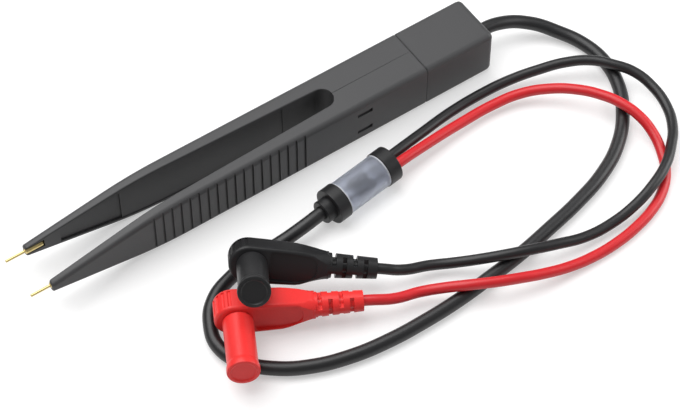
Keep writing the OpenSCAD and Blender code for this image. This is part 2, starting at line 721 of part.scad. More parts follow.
arm("left");  // left_arm
arm("right");  // right_arm
left_rear_half();
right_rear_half();
rear_cap();
inner_cover("left");  // left_inner_cover
inner_cover("right");  // right_inner_cover
contact_pin("left");  // left_contact_pin
contact_pin("right");  // right_contact_pin
arm_core("left");  // left_arm_core
arm_core("right");  // right_arm_core
rear_core("left");  // left_rear_core
rear_core("right");  // right_rear_core
cable_tail();
cable_collar();
main_cable();
black_lead();
red_lead();
splice_cable_cap();
splice_sleeve();
splice_lead_cap();
splice_joint("black");  // black_splice_joint
splice_joint("red");  // red_splice_joint
plug_boot(black_end, black_turn, black_colour);  // black_plug_boot
plug_sheath(black_end, black_turn, black_colour);  // black_plug_sheath
plug_pin(black_end, black_turn);  // black_plug_pin
dust_cap(black_end, black_turn, black_colour);  // black_dust_cap
plug_boot(red_end, red_turn, red_colour);  // red_plug_boot
plug_sheath(red_end, red_turn, red_colour);  // red_plug_sheath
plug_pin(red_end, red_turn);  // red_plug_pin
dust_cap(red_end, red_turn, red_colour);  // red_dust_cap
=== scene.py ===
"""Looks for a pair of surface-mount test tweezers with their cable, splice and plugs."""
import math

import bpy
from mathutils import Euler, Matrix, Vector


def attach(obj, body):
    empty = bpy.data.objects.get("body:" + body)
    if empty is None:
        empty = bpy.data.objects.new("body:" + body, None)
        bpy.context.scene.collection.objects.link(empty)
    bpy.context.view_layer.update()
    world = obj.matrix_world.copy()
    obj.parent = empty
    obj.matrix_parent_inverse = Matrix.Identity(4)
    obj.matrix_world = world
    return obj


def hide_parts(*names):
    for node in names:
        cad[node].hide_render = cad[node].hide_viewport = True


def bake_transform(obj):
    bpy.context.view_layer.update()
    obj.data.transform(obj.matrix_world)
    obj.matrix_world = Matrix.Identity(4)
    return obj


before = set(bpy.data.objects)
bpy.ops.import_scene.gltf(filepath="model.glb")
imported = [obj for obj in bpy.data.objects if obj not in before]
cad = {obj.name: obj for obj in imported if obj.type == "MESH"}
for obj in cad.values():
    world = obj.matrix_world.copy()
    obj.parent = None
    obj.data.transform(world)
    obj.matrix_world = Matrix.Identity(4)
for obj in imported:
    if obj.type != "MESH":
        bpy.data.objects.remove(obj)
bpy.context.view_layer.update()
MM = 0.001

# Camera: a long lens, high above the bench and to the left of the needles.
# It is aimed at the bench between the tweezers and the plugs.
camera = bpy.data.objects.new("camera", bpy.data.cameras.new("camera"))
bpy.context.scene.collection.objects.link(camera)
bpy.context.scene.camera = camera
camera.data.sensor_width = 36
camera.data.lens = 127.55
camera.data.clip_start = 0.01
camera.data.clip_end = 20
camera_aim = Vector((12.47, -25.5, 0)) * MM
camera_far = 703.9 * MM
camera_turn = math.radians(-34.42)
camera_rise = math.radians(53.85)
camera.rotation_euler = (math.pi / 2 - camera_rise, 0, camera_turn)
camera.location = camera_aim + camera.rotation_euler.to_matrix() @ Vector((0, 0, camera_far))

# Bench: a plain white sheet that runs out of view on all sides. It glows a little where it is seen, mirrored
# or looked at through the sleeve, so that it stays white there and still takes soft shadows.
bench_drop = 0.15 * MM
bench_glow = 0.4
bpy.ops.object.select_all(action="DESELECT")
bpy.ops.mesh.primitive_plane_add(size=6, location=(0, 0, -bench_drop))
bench = bpy.context.object
bench.name = "bench"


def worked(tree, operation, *terms):
    """Adds a Math node to a material's tree, with numbers or other nodes' outputs as its terms."""
    node = tree.nodes.new("ShaderNodeMath")
    node.operation = operation
    for socket, term in zip(node.inputs, terms):
        if isinstance(term, bpy.types.NodeSocket):
            tree.links.new(term, socket)
        else:
            socket.default_value = term
    return node.outputs[0]


bench_white = bpy.data.materials.new("bench_white")
bench_white.use_nodes = True
bench_tree = bench_white.node_tree
bench_shader = bench_tree.nodes["Principled BSDF"]
bench_shader.inputs["Base Color"].default_value = (0.62, 0.62, 0.62, 1)
bench_shader.inputs["Roughness"].default_value = 0.9
bench_shader.inputs["Specular IOR Level"].default_value = 0.1
bench_shader.inputs["Emission Color"].default_value = (1, 1, 1, 1)
rays = bench_tree.nodes.new("ShaderNodeLightPath").outputs
seen = worked(bench_tree, "MAXIMUM", rays["Is Camera Ray"], rays["Is Glossy Ray"])
seen = worked(bench_tree, "MAXIMUM", seen, rays["Is Transmission Ray"])
glow = worked(bench_tree, "MULTIPLY", seen, bench_glow)
bench_tree.links.new(glow, bench_shader.inputs["Emission Strength"])
bench.data.materials.append(bench_white)

# Light: a large soft box overhead and behind, and a weak one low in front on the right.
# An even pale room fills the rest.
bpy.context.scene.view_settings.view_transform = "Standard"
room = bpy.data.worlds.new("room")
bpy.context.scene.world = room
room.use_nodes = True
room.node_tree.nodes["Background"].inputs["Color"].default_value = (1, 1, 1, 1)
room.node_tree.nodes["Background"].inputs["Strength"].default_value = 0.34
lamp_aim = Vector((0.02, -0.03, 0))
for name, size, energy, place in (
    ("soft_box", 0.9, 9.6, (-0.08, 0.32, 0.8)),
    ("fill_box", 0.2, 0.5, (0.32, -0.13, 0.14)),
):
    lamp = bpy.data.objects.new(name, bpy.data.lights.new(name, "AREA"))
    bpy.context.scene.collection.objects.link(lamp)
    lamp.data.size = size
    lamp.data.energy = energy
    lamp.location = place
    lamp.rotation_euler = (lamp_aim - lamp.location).to_track_quat("-Z", "Y").to_euler()

# Moulded halves: two dark grey ABS mouldings with a fine spark-eroded grain, each a springy arm and half of
# the rear body in one piece. They meet on a parting line behind the slot. Pieces are drawn in millimetres
# and brought to metres once they are done.
body_h = 16.5
mid_z = body_h / 2
half_w = 8.85
edge_r = 1.8
tip_x = -73.7
tip_half_h = 1.8
tip_inner_y = 6.4
tip_outer_y = 8.8
tip_edge_r = 1
tip_end_r = 0.7
taper_end_x = -28
shoulder_len = 18
slot_x = 23.5
slot_r = 3.5
slot_edge_r = 0.45
parting_x = 26.3
parting_r = 0.1
seam_x = 55.4
seam_gap = 0.1
seam_half_w = 0.4
seam_depth = 0.25
cut_past = 1


def alone(piece):
    """Leaves edit mode and selects one piece only."""
    if bpy.context.mode != "OBJECT":
        bpy.ops.object.mode_set(mode="OBJECT")
    bpy.ops.object.select_all(action="DESELECT")
    piece.select_set(True)
    bpy.context.view_layer.objects.active = piece


def loft(name, sections):
    """Extrudes a plane along X through rectangular sections (x, y0, y1, z0, z1)."""
    x, y0, y1, z0, z1 = sections[0]
    centre = Vector((x, (y0 + y1) / 2, (z0 + z1) / 2))
    bpy.ops.object.select_all(action="DESELECT")
    bpy.ops.mesh.primitive_plane_add(size=1, location=centre, rotation=(0, -math.pi / 2, 0))
    piece = bpy.context.object
    piece.name = name
    bpy.ops.object.transform_apply(location=True, rotation=True, scale=True)
    bpy.ops.object.mode_set(mode="EDIT")
    bpy.ops.mesh.select_all(action="SELECT")
    bpy.ops.transform.resize(value=(1, y1 - y0, z1 - z0), center_override=centre)
    for nx, ny0, ny1, nz0, nz1 in sections[1:]:
        place = Vector((nx, (ny0 + ny1) / 2, (nz0 + nz1) / 2))
        bpy.ops.mesh.extrude_region_move(TRANSFORM_OT_translate={"value": place - centre})
        growth = (1, (ny1 - ny0) / (y1 - y0), (nz1 - nz0) / (z1 - z0))
        bpy.ops.transform.resize(value=growth, center_override=place)
        centre, y0, y1, z0, z1 = place, ny0, ny1, nz0, nz1
    bpy.ops.mesh.select_all(action="SELECT")
    bpy.ops.mesh.normals_make_consistent(inside=False)
    bpy.ops.object.mode_set(mode="OBJECT")
    return piece


def soften(piece, radius, largest, segments):
    """Rounds each edge by the radius that a function of its two ends gives."""
    weights = piece.data.attributes.new("bevel_weight_edge", "FLOAT", "EDGE")
    points = piece.data.vertices
    for edge in piece.data.edges:
        a, b = (points[i].co for i in edge.vertices)
        weights.data[edge.index].value = min(1, radius(a, b) / largest)
    alone(piece)
    rounding = piece.modifiers.new("rounding", "BEVEL")
    rounding.limit_method = "WEIGHT"
    rounding.width = largest
    rounding.segments = segments
    rounding.use_clamp_overlap = False
    bpy.ops.object.modifier_apply(modifier=rounding.name)


def combine(piece, other, how):
    """Joins, cuts or trims a piece with another, which is used up."""
    alone(piece)
    step = piece.modifiers.new("combine", "BOOLEAN")
    step.operation = how
    step.solver = "MANIFOLD"
    step.object = other
    bpy.ops.object.modifier_apply(modifier=step.name)
    bpy.data.objects.remove(other)


def repeat(piece, count, step):
    """Repeats a piece in a row."""
    alone(piece)
    row = piece.modifiers.new("row", "ARRAY")
    row.count = count
    row.use_relative_offset = False
    row.use_constant_offset = True
    row.constant_offset_displace = step
    bpy.ops.object.modifier_apply(modifier=row.name)


def settle(piece, location=(0, 0, 0), turn=(0, 0, 0)):
    """Brings a piece from millimetres to its place in metres, and shades it smooth."""
    alone(piece)
    piece.scale = (MM, MM, MM)
    piece.location = Vector(location) * MM
    piece.rotation_euler = turn
    bpy.ops.object.transform_apply(location=True, rotation=True, scale=True)
    bpy.ops.object.mode_set(mode="EDIT")
    bpy.ops.mesh.select_all(action="SELECT")
    bpy.ops.mesh.normals_make_consistent(inside=False)
    bpy.ops.object.mode_set(mode="OBJECT")
    bpy.ops.object.shade_smooth_by_angle(angle=math.radians(32))
    flow = piece.modifiers.new("flow", "WEIGHTED_NORMAL")
    flow.keep_sharp = True
    bpy.ops.object.modifier_apply(modifier=flow.name)


def taper_share(x):
    return min(1, (x - tip_x) / (taper_end_x - tip_x))


def half_height(x):
    slope = (mid_z - tip_half_h) / (taper_end_x - tip_x - shoulder_len / 2)
    if x <= taper_end_x - shoulder_len:
        return tip_half_h + slope * (x - tip_x)
    if x >= taper_end_x:
        return mid_z
    return mid_z - slope * (taper_end_x - x) ** 2 / (2 * shoulder_len)


def inner_face(x):
    if x <= slot_x:
        return slot_r + (tip_inner_y - slot_r) * (slot_x - x) / (slot_x - tip_x)
    return math.sqrt(max(0, slot_r ** 2 - (x - slot_x) ** 2))


def outer_face(x):
    return tip_outer_y + (half_w - tip_outer_y) * taper_share(x)


def seam_groove(x):
    return seam_depth if abs(x - seam_x) < seam_gap else 0


def half_edge(a, b):
    x = (a.x + b.x) / 2
    y = (a.y + b.y) / 2
    if abs(a.x - b.x) < 0.01:
        return tip_end_r if x - tip_x < 0.01 else 0
    if abs(y - outer_face(x)) < 0.2:
        return tip_edge_r + (edge_r - tip_edge_r) * taper_share(x)
    return slot_edge_r if x < parting_x else parting_r


half_stations = [tip_x, -67, -60, -53]
half_stations += [taper_end_x + shoulder_len * (step / 8 - 1) for step in range(9)]
half_stations += [-14, 0]
half_stations += [12.5 + 1.5 * step for step in range(8)]
half_stations += [slot_x + slot_r * math.sin(math.radians(15 * step)) for step in range(7)]
half_stations += [34, 41, 48, seam_x - seam_half_w, seam_x - seam_gap / 2]
left_half = loft("left_half", [
    (x, inner_face(x), outer_face(x) - seam_groove(x) / 3, mid_z - half_height(x) + seam_groove(x),
     mid_z + half_height(x) - seam_groove(x))
    for x in half_stations
])
soften(left_half, half_edge, edge_r, 4)

grip_count = 18
grip_pitch = 3.04
grip_x = 12
grip_w = 0.8
grip_depth = 0.5
grip_cutter = loft("grip_cutter", [
    (x, half_w - grip_depth, half_w + cut_past, -cut_past, body_h + cut_past)
    for x in (grip_x - grip_w, grip_x)
])
repeat(grip_cutter, grip_count, (-grip_pitch, 0, 0))
combine(left_half, grip_cutter, "DIFFERENCE")

cover_rear_x = 12.02
cover_front_x = -62.55
cover_rim = 1.1
rebate_depth = 1
cover_stations = [cover_rear_x, 0, -14] + [x for x in reversed(half_stations) if -60 <= x <= taper_end_x]
combine(left_half, loft("cover_rebate", [
    (x, inner_face(x) - cut_past, inner_face(x) + rebate_depth, mid_z - half_height(x) + cover_rim,
     mid_z + half_height(x) - cover_rim)
    for x in cover_stations + [cover_front_x]
]), "DIFFERENCE")

pin_y = 7.1
pin_seat_r = 0.95
pin_reach = (-75, -67.65)
mouth_flare = math.radians(48)
combine(left_half, loft("pin_groove", [
    (x, tip_inner_y - cut_past, pin_y, mid_z - pin_seat_r, mid_z + pin_seat_r) for x in pin_reach
]), "DIFFERENCE")
pin_mouth = loft("pin_mouth", [(x, -2, 0, -2, 0) for x in pin_reach])
pin_mouth.location = (0, pin_y, mid_z + pin_seat_r)
pin_mouth.rotation_euler = (-mouth_flare, 0, 0)
combine(left_half, pin_mouth, "DIFFERENCE")
bpy.ops.object.select_all(action="DESELECT")
bpy.ops.mesh.primitive_cylinder_add(
    vertices=32, radius=pin_seat_r, depth=pin_reach[1] - pin_reach[0],
    location=(sum(pin_reach) / 2, pin_y, mid_z), rotation=(0, math.pi / 2, 0),
)
combine(left_half, bpy.context.object, "DIFFERENCE")

alone(left_half)
bpy.ops.object.duplicate()
right_half = bpy.context.object
right_half.name = "right_half"
right_half.scale = (1, -1, 1)
bpy.ops.object.transform_apply(location=False, rotation=False, scale=True)
latch_z = (4.5, 12)
window_reach = (30.3, 35.6)
window_half_h = 0.7
window_floor = 7.65
for z in latch_z:
    combine(right_half, loft("window", [
        (x, -half_w - cut_past, -window_floor, z - window_half_h, z + window_half_h) for x in window_reach
    ]), "DIFFERENCE")
settle(left_half)
settle(right_half)


def grain_group():
    """Fine moulding grain on a broad faint mottling, for the colour, roughness and relief of a surface."""
    group = bpy.data.node_groups.new("moulded_grain", "ShaderNodeTree")
    face = group.interface
    for name, kind, value in (
        ("Colour", "NodeSocketColor", (0.1, 0.1, 0.1, 1)),
        ("Grain Size", "NodeSocketFloat", 3000),
        ("Shade", "NodeSocketFloat", 0.1),
        ("Roughness", "NodeSocketFloat", 0.5),
        ("Roughness Swing", "NodeSocketFloat", 0.08),
    ):
        face.new_socket(name=name, in_out="INPUT", socket_type=kind).default_value = value
    for name, kind in (
        ("Colour", "NodeSocketColor"),
        ("Roughness", "NodeSocketFloat"),
        ("Height", "NodeSocketFloat"),
    ):
        face.new_socket(name=name, in_out="OUTPUT", socket_type=kind)
    nodes = group.nodes
    links = group.links
    given = nodes.new("NodeGroupInput").outputs
    result = nodes.new("NodeGroupOutput").inputs
    place = nodes.new("ShaderNodeTexCoord").outputs["Object"]
    fine = nodes.new("ShaderNodeTexNoise")
    fine.inputs["Detail"].default_value = 3
    links.new(place, fine.inputs["Vector"])
    links.new(given["Grain Size"], fine.inputs["Scale"])
    broad = nodes.new("ShaderNodeTexNoise")
    broad.inputs["Scale"].default_value = 90
    broad.inputs["Detail"].default_value = 4
    links.new(place, broad.inputs["Vector"])
    broad_share = worked(group, "MULTIPLY", broad.outputs["Fac"], 0.55)
    both = worked(group, "MULTIPLY_ADD", fine.outputs["Fac"], 0.45, broad_share)
    swing = worked(group, "SUBTRACT", both, 0.5)
    tint = nodes.new("ShaderNodeVectorMath")
    tint.operation = "SCALE"
    links.new(given["Colour"], tint.inputs[0])
    links.new(worked(group, "MULTIPLY_ADD", swing, given["Shade"], 1), tint.inputs["Scale"])
    rough = worked(group, "MULTIPLY_ADD", swing, given["Roughness Swing"], given["Roughness"])
    links.new(tint.outputs[0], result["Colour"])
    links.new(rough, result["Roughness"])
    links.new(fine.outputs["Fac"], result["Height"])
    return group


moulded_grain = grain_group()


def grained(name, colour, size, shade, roughness, bump, swing=0.2, metallic=0, specular=0.5):
    """A material with the moulding grain: its size, how far it shades and roughens, and its relief."""
    material = bpy.data.materials.new(name)
    material.use_nodes = True
    nodes = material.node_tree.nodes
    links = material.node_tree.links
    shader = nodes["Principled BSDF"]
    shader.inputs["Metallic"].default_value = metallic
    shader.inputs["Specular IOR Level"].default_value = specular
    grain = nodes.new("ShaderNodeGroup")
    grain.node_tree = moulded_grain
    grain.inputs["Colour"].default_value = (*colour, 1)
    grain.inputs["Grain Size"].default_value = size
    grain.inputs["Shade"].default_value = shade
    grain.inputs["Roughness"].default_value = roughness
    grain.inputs["Roughness Swing"].default_value = swing
    relief = nodes.new("ShaderNodeBump")
    relief.inputs["Strength"].default_value = bump
    relief.inputs["Distance"].default_value = 0.04 * MM
    links.new(grain.outputs["Colour"], shader.inputs["Base Color"])
    links.new(grain.outputs["Roughness"], shader.inputs["Roughness"])
    links.new(grain.outputs["Height"], relief.inputs["Height"])
    links.new(relief.outputs["Normal"], shader.inputs["Normal"])
    return material


def finish_with(piece, material):
    piece.data.materials.clear()
    piece.data.materials.append(material)


shell_grey = grained("shell_grey", (0.044, 0.044, 0.046), size=3200, shade=0.35, roughness=0.52, bump=0.35)
for side, half in (("left", left_half), ("right", right_half)):
    finish_with(half, shell_grey)
    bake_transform(half)
    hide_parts(side + "_arm")
    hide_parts(side + "_rear_half")

# Latch hooks: the bevelled heads of two hooks that are moulded on the left half in the same ABS.
# They snap into the right half's windows and sit a little below its surface.
hook_face = 8.35
hook_root = 7.5
hook_bevel = 0.15
hook_half_h = 0.55
hooks = loft("latch_hooks", [
    (x, drop - hook_face, -hook_root, latch_z[0] - hook_half_h, latch_z[0] + hook_half_h)
    for x, drop in ((30.5, hook_bevel), (30.8, 0), (35.1, 0), (35.4, hook_bevel))
])
repeat(hooks, len(latch_z), (0, 0, latch_z[1] - latch_z[0]))
settle(hooks)
finish_with(hooks, shell_grey)
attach(hooks, "body")

# Inner covers: smooth black ABS strips, let into the rebates of the inner faces.
# They are pressed in over the wire channels of the arms, and step down towards the tips.
cover_black = grained(
    "cover_black", (0.028, 0.028, 0.03), size=2400, shade=0.3, roughness=0.45, bump=0.15, swing=0.15,
)
for side in ("left", "right"):
    finish_with(cad[side + "_inner_cover"], cover_black)

# Contact pins: turned brass with a gold plate, each a straight needle on a thicker shank.
# The shank is pressed into the groove at the tip of its arm.
gold_plate = grained(
    "gold_plate", (0.68, 0.55, 0.25), size=1500, shade=0.25, roughness=0.36, bump=0.08, metallic=1,
)
for side in ("left", "right"):
    finish_with(cad[side + "_contact_pin"], gold_plate)

# Rear cap: a square ABS sleeve with soft rear corners and the cable's hole, in the grain of the halves.
# It is pushed over the tongues of both halves, up to a fine V-shaped seam.
rear_x = 80
cap_hole_r = 2.2
cap_mouth_r = 2.65
cap_mouth_len = 3
rear_cap = loft("rear_cap_skin", [
    (x, seam_groove(x) / 3 - half_w, half_w - seam_groove(x) / 3, seam_groove(x), body_h - seam_groove(x))
    for x in (seam_x + seam_gap / 2, seam_x + seam_half_w, 63, 71, rear_x)
])


def cap_edge(a, b):
    along = abs(a.x - b.x) > 0.01
    return edge_r if along or rear_x - a.x < 0.01 else 0


soften(rear_cap, cap_edge, edge_r, 5)
bpy.ops.object.select_all(action="DESELECT")
bpy.ops.mesh.primitive_cone_add(
    vertices=48, radius1=cap_hole_r, radius2=cap_mouth_r, depth=cap_mouth_len,
    location=(rear_x - 1, 0, mid_z), rotation=(0, math.pi / 2, 0),
)
combine(rear_cap, bpy.context.object, "DIFFERENCE")
settle(rear_cap)
finish_with(rear_cap, shell_grey)
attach(rear_cap, "body")
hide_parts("rear_cap")

# Cable: two stranded cores in one round black PVC jacket, from the cap of the tweezers to the splice.
# It lies in one loose loop on the bench. The tail in the cap and the right arm's wire have the same jacket.
cable_d = 4.2
splice_yaw = math.radians(8)
along_splice = (math.cos(splice_yaw), math.sin(splice_yaw), 0)


def lay_cord(name, route, diameter, first, last):
    """Lays a round cord along a route, with its direction given at both ends."""
    line = bpy.data.curves.new(name, "CURVE")
    line.dimensions = "3D"
    line.bevel_depth = diameter / 2 * MM
    line.bevel_resolution = 8
    line.use_fill_caps = True
    line.resolution_u = 12
    spline = line.splines.new("BEZIER")
    spline.bezier_points.add(len(route) - 1)
    for knot, place in zip(spline.bezier_points, route):
        knot.co = Vector(place) * MM
        knot.handle_left_type = "AUTO"
        knot.handle_right_type = "AUTO"
    reach = 0.35 * (Vector(route[1]) - Vector(route[0])).length * MM
    for knot, way in ((spline.bezier_points[0], first), (spline.bezier_points[-1], last)):
        knot.handle_left_type = "FREE"
        knot.handle_right_type = "FREE"
        knot.handle_right = knot.co + Vector(way) * reach
        knot.handle_left = knot.co - Vector(way) * reach
    cord = bpy.data.objects.new(name, line)
    bpy.context.scene.collection.objects.link(cord)
    return cord


cable_route = [
    (80, 0, 8.25), (88, -0.5, 7.9), (97.5, -4, 5.3), (104, -10.5, 3), (108, -18, 2.1), (109, -27, 2.1),
    (107, -36, 2.1), (101.5, -45.5, 2.1), (92.5, -54.5, 2.1), (82, -60.5, 2.1), (70, -64.5, 2.1),
    (57, -67.5, 2.1), (44.5, -70, 2.1), (33, -71.5, 2.1), (20.5, -72.8, 2.1), (8.5, -73.2, 2.1),
    (-3.5, -72.8, 2.1), (-15.5, -71, 2.1), (-26, -67.6, 2.1), (-34.5, -62.6, 2.1), (-40.8, -56, 2.1),
    (-43.8, -48.1, 2.1), (-41.7, -40, 2.1), (-36.5, -33.6, 2.1), (-28, -29.8, 2.1), (-18.5, -28.2, 2.1),
    (-9, -28.4, 3.4), (-3, -28.6, 5), (4.4, -27.8, 5.6),
]
cable = lay_cord("cable", cable_route, cable_d, (1, 0, 0), along_splice)
black_jacket = grained("black_jacket", (0.009, 0.009, 0.01), size=1400, shade=0.4, roughness=0.4, bump=0.1)
finish_with(cable, black_jacket)
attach(cable, "body")
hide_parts("main_cable")
for name in ("cable_tail", "right_arm_core", "right_rear_core"):
    finish_with(cad[name], black_jacket)

# Splice: two turned black end caps, pushed into a short sleeve of milky plastic with pale lips. In it the
# cable's two cores are soldered to the leads, under shrunk-on covers that show faintly through the sleeve.
splice_place = cable_route[-1]
splice_turn = (0, math.pi / 2, splice_yaw)
neck_r = 3.6
neck_len = 3.1
flange_r = 5.6
sleeve_r = 5.3
sleeve_bore_r = 4.3
sleeve_start = 7.2
sleeve_end = 22.7
flange_end = 27.1
lip_w = 0.3
core_r = 0.55
core_len = 3.2
core_pitch = 3.5
core_row_step = 12.95


def turned(name, profile, sides=64):
    """Turns a closed solid about Z from a profile of (radius, height) points."""
    bpy.ops.object.select_all(action="DESELECT")
    radius, height = profile[0]
    bpy.ops.mesh.primitive_circle_add(vertices=sides, radius=radius, location=(0, 0, height))
    piece = bpy.context.object
    piece.name = name
    bpy.ops.object.transform_apply(location=True, rotation=True, scale=True)
    bpy.ops.object.mode_set(mode="EDIT")
    bpy.ops.mesh.select_mode(type="EDGE")
    bpy.ops.mesh.select_all(action="SELECT")
    for next_radius, next_height in profile[1:]:
        bpy.ops.mesh.extrude_region_move(TRANSFORM_OT_translate={"value": (0, 0, next_height - height)})
        growth = next_radius / radius
        bpy.ops.transform.resize(value=(growth, growth, 1), center_override=(0, 0, next_height))
        radius, height = next_radius, next_height
    bpy.ops.mesh.edge_face_add()
    bpy.ops.mesh.select_all(action="DESELECT")
    bpy.ops.mesh.select_non_manifold(extend=False)
    bpy.ops.mesh.edge_face_add()
    bpy.ops.mesh.select_all(action="SELECT")
    bpy.ops.mesh.normals_make_consistent(inside=False)
    bpy.ops.mesh.select_mode(type="VERT")
    bpy.ops.object.mode_set(mode="OBJECT")
    return piece


cable_cap = turned("splice_cable_cap_skin", [
    (cable_d / 2 + 0.05, 1), (cable_d / 2 + 0.05, 0), (neck_r - 0.2, 0), (neck_r, 0.2), (neck_r, neck_len),
    (flange_r - 0.2, neck_len), (flange_r - 0.06, neck_len + 0.06), (flange_r, neck_len + 0.2),
    (flange_r, sleeve_start - 0.1), (flange_r - 0.1, sleeve_start), (3, sleeve_start),
])
settle(cable_cap, splice_place, splice_turn)
lead_cap = turned("splice_lead_cap_skin", [
    (3, sleeve_end), (flange_r - 0.1, sleeve_end), (flange_r, sleeve_end + 0.1), (flange_r, flange_end - 0.2),
    (flange_r - 0.06, flange_end - 0.06), (flange_r - 0.2, flange_end), (3.9, flange_end),
    (3.7, flange_end - 0.2),
])
settle(lead_cap, splice_place, splice_turn)
sleeve = turned("splice_sleeve_skin", [
    (sleeve_bore_r, sleeve_start), (sleeve_r - 0.1, sleeve_start), (sleeve_r, sleeve_start + 0.1),
    (sleeve_r, sleeve_end - 0.1), (sleeve_r - 0.1, sleeve_end), (sleeve_bore_r, sleeve_end),
])
alone(sleeve)
bpy.ops.object.mode_set(mode="EDIT")
bpy.ops.mesh.select_mode(type="FACE")
bpy.ops.mesh.select_all(action="DESELECT")
bpy.ops.object.mode_set(mode="OBJECT")
for face in sleeve.data.polygons:
    face.select = len(face.vertices) > 4
bpy.ops.object.mode_set(mode="EDIT")
bpy.ops.mesh.delete(type="ONLY_FACE")
bpy.ops.mesh.select_mode(type="EDGE")
bpy.ops.mesh.select_non_manifold(extend=False)
bpy.ops.mesh.bridge_edge_loops()
bpy.ops.mesh.select_mode(type="VERT")
bpy.ops.object.mode_set(mode="OBJECT")
settle(sleeve, splice_place, splice_turn)
lips = turned("splice_lips", [
    (sleeve_r - 0.2, sleeve_start), (sleeve_r + 0.04, sleeve_start),
    (sleeve_r + 0.06, sleeve_start + lip_w / 2), (sleeve_r + 0.04, sleeve_start + lip_w),
    (sleeve_r - 0.2, sleeve_start + lip_w),
])
repeat(lips, 2, (0, 0, sleeve_end - sleeve_start - lip_w))
settle(lips, splice_place, splice_turn)
core_start = sleeve_start - 0.1
cores = turned("splice_cores", [
    (core_r - 0.15, core_start), (core_r, core_start + 0.15), (core_r, core_start + core_len - 0.15),
    (core_r - 0.15, core_start + core_len),
], 24)
repeat(cores, 2, (0, core_pitch, 0))
repeat(cores, 2, (0, 0, core_row_step))
bpy.ops.object.mode_set(mode="EDIT")
bpy.ops.mesh.select_all(action="SELECT")
bpy.ops.transform.translate(value=(0, -core_pitch / 2, 0))
bpy.ops.object.mode_set(mode="OBJECT")
settle(cores, splice_place, splice_turn)

black_moulding = grained(
    "black_moulding", (0.016, 0.016, 0.017), size=2200, shade=0.4, roughness=0.38, bump=0.2, specular=0.3,
)
milky_sleeve = grained(
    "milky_sleeve", (0.72, 0.75, 0.83), size=4000, shade=0.1, roughness=0.42, bump=0.06, swing=0.05,
)
milky_shader = milky_sleeve.node_tree.nodes["Principled BSDF"]
milky_shader.inputs["Transmission Weight"].default_value = 0.9
milky_shader.inputs["IOR"].default_value = 1.35
pale_lip = grained("pale_lip", (0.62, 0.63, 0.67), size=900, shade=0.2, roughness=0.4, bump=0.1)
shrink_cover = grained("shrink_cover", (0.018, 0.026, 0.045), size=1800, shade=0.3, roughness=0.5, bump=0.15)
for piece, material, slot in (
    (cable_cap, black_moulding, "black_moulding"),
    (lead_cap, black_moulding, "black_moulding"),
    (sleeve, milky_sleeve, "clear_sleeve"),
    (lips, pale_lip, "clear_sleeve"),
    (cores, shrink_cover, "shrink_cover"),
):
    finish_with(piece, material)
    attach(piece, "body")
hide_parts("splice_cable_cap")
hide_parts("splice_lead_cap")
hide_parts("splice_sleeve")
joints = [cad[name + "_splice_joint"] for name in ("black", "red")]
for joint in joints:
    finish_with(joint, shrink_cover)
finish_with(cad["cable_collar"], black_moulding)

# Test leads: one stranded core each in a soft PVC jacket, black and red, from the splice to the plugs.
# They cross the cable and each other in low humps, and run straight into the strain reliefs.
lead_d = 3.2
red_jacket = grained("red_jacket", (0.6, 0.012, 0.018), size=1400, shade=0.3, roughness=0.38, bump=0.1)
for name in ("left_arm_core", "left_rear_core"):
    finish_with(cad[name], red_jacket)
lead_routes = {
    "black": [
        (31, -22.3, 5.6), (45.5, -19.6, 4.4), (58, -17.4, 3.4), (70, -16.8, 3.2), (80, -17.6, 3.6),
        (89, -19.9, 4.6), (97, -22.9, 5.6), (103.5, -27, 6.2), (108, -32, 6.2), (112, -37.5, 5.3),
        (113.8, -44.5, 3.9), (113, -52, 3.1), (109.5, -59, 3.4), (104, -65, 4.4), (97.5, -70.2, 5.2),
        (90, -73.7, 5), (82, -75.7, 3.7), (73, -76.5, 2.7), (63.5, -76.3, 3.2), (54, -74.6, 5),
        (46.5, -72.6, 6.1), (40.5, -70.4, 6.2), (33.5, -66.8, 5.2), (27, -62.7, 3.7), (20.2, -59.2, 3.6),
        (12.5, -57.1, 5.2), (5.8, -53.6, 7.2),
    ],
    "red": [
        (31.5, -25.76, 5.6), (46.5, -23.6, 4.3), (58.5, -22.4, 3.3), (70, -22.2, 3.2), (79.5, -23.8, 3.8),
        (87, -27.8, 4.9), (93, -33.2, 5.9), (97.5, -39, 6.3), (100.7, -45.3, 6.3), (102.7, -51.8, 5.2),
        (103, -58, 3.4), (101.5, -64, 2), (98, -70.3, 1.6), (92.5, -75.4, 1.6), (86, -78.8, 1.6),
        (78.5, -81, 1.6), (70.5, -82.2, 1.6), (62, -82.4, 1.8), (53.5, -81.8, 2.8), (45.5, -80.5, 4.4),
        (38, -78.5, 5.8), (31.5, -76, 6.3), (25, -72.7, 6.2), (19, -68.8, 5), (12.7, -65.6, 4.3),
        (4.9, -64, 5.5), (-3.4, -60.1, 6.6),
    ],
}
plug_turns = {
    "black": Euler([math.radians(angle) for angle in (57.9, 7, -34.2)]),
    "red": Euler([math.radians(angle) for angle in (82.3, 1.1, -27.9)]),
}
leads = {}
for name, material in (("black", black_jacket), ("red", red_jacket)):
    into_plug = plug_turns[name].to_matrix() @ Vector((-1, 0, 0))
    leads[name] = lay_cord(name + "_test_lead", lead_routes[name], lead_d, along_splice, into_plug)
    finish_with(leads[name], material)
    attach(leads[name], "body")
    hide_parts(name + "_lead")

# Plug boots: right-angle mouldings in soft plastic over each plug, with a fluted round head, a tapered body
# with a grip panel in each face, and a slotted strain relief. One is drawn flat and laid twice, with its
# contact along Z and its lead along X.
head_x = -1
head_r = 5.6
boot_half_t = 3.85
boot_edge_r = 0.9
boot_end_x = 22
panel_floor = 2.95
panel_corner_r = 0.8
rim_r = 0.15
relief_end_x = 35.6
relief_start_x = 21.2
relief_start_r = 3.66
relief_end_r = 3
relief_slots = 4
relief_slot_w = 1.2
relief_core_r = 1.9
flute_count = 9
flute_r = 0.65
flute_len = 5.6
flute_out = 0.3


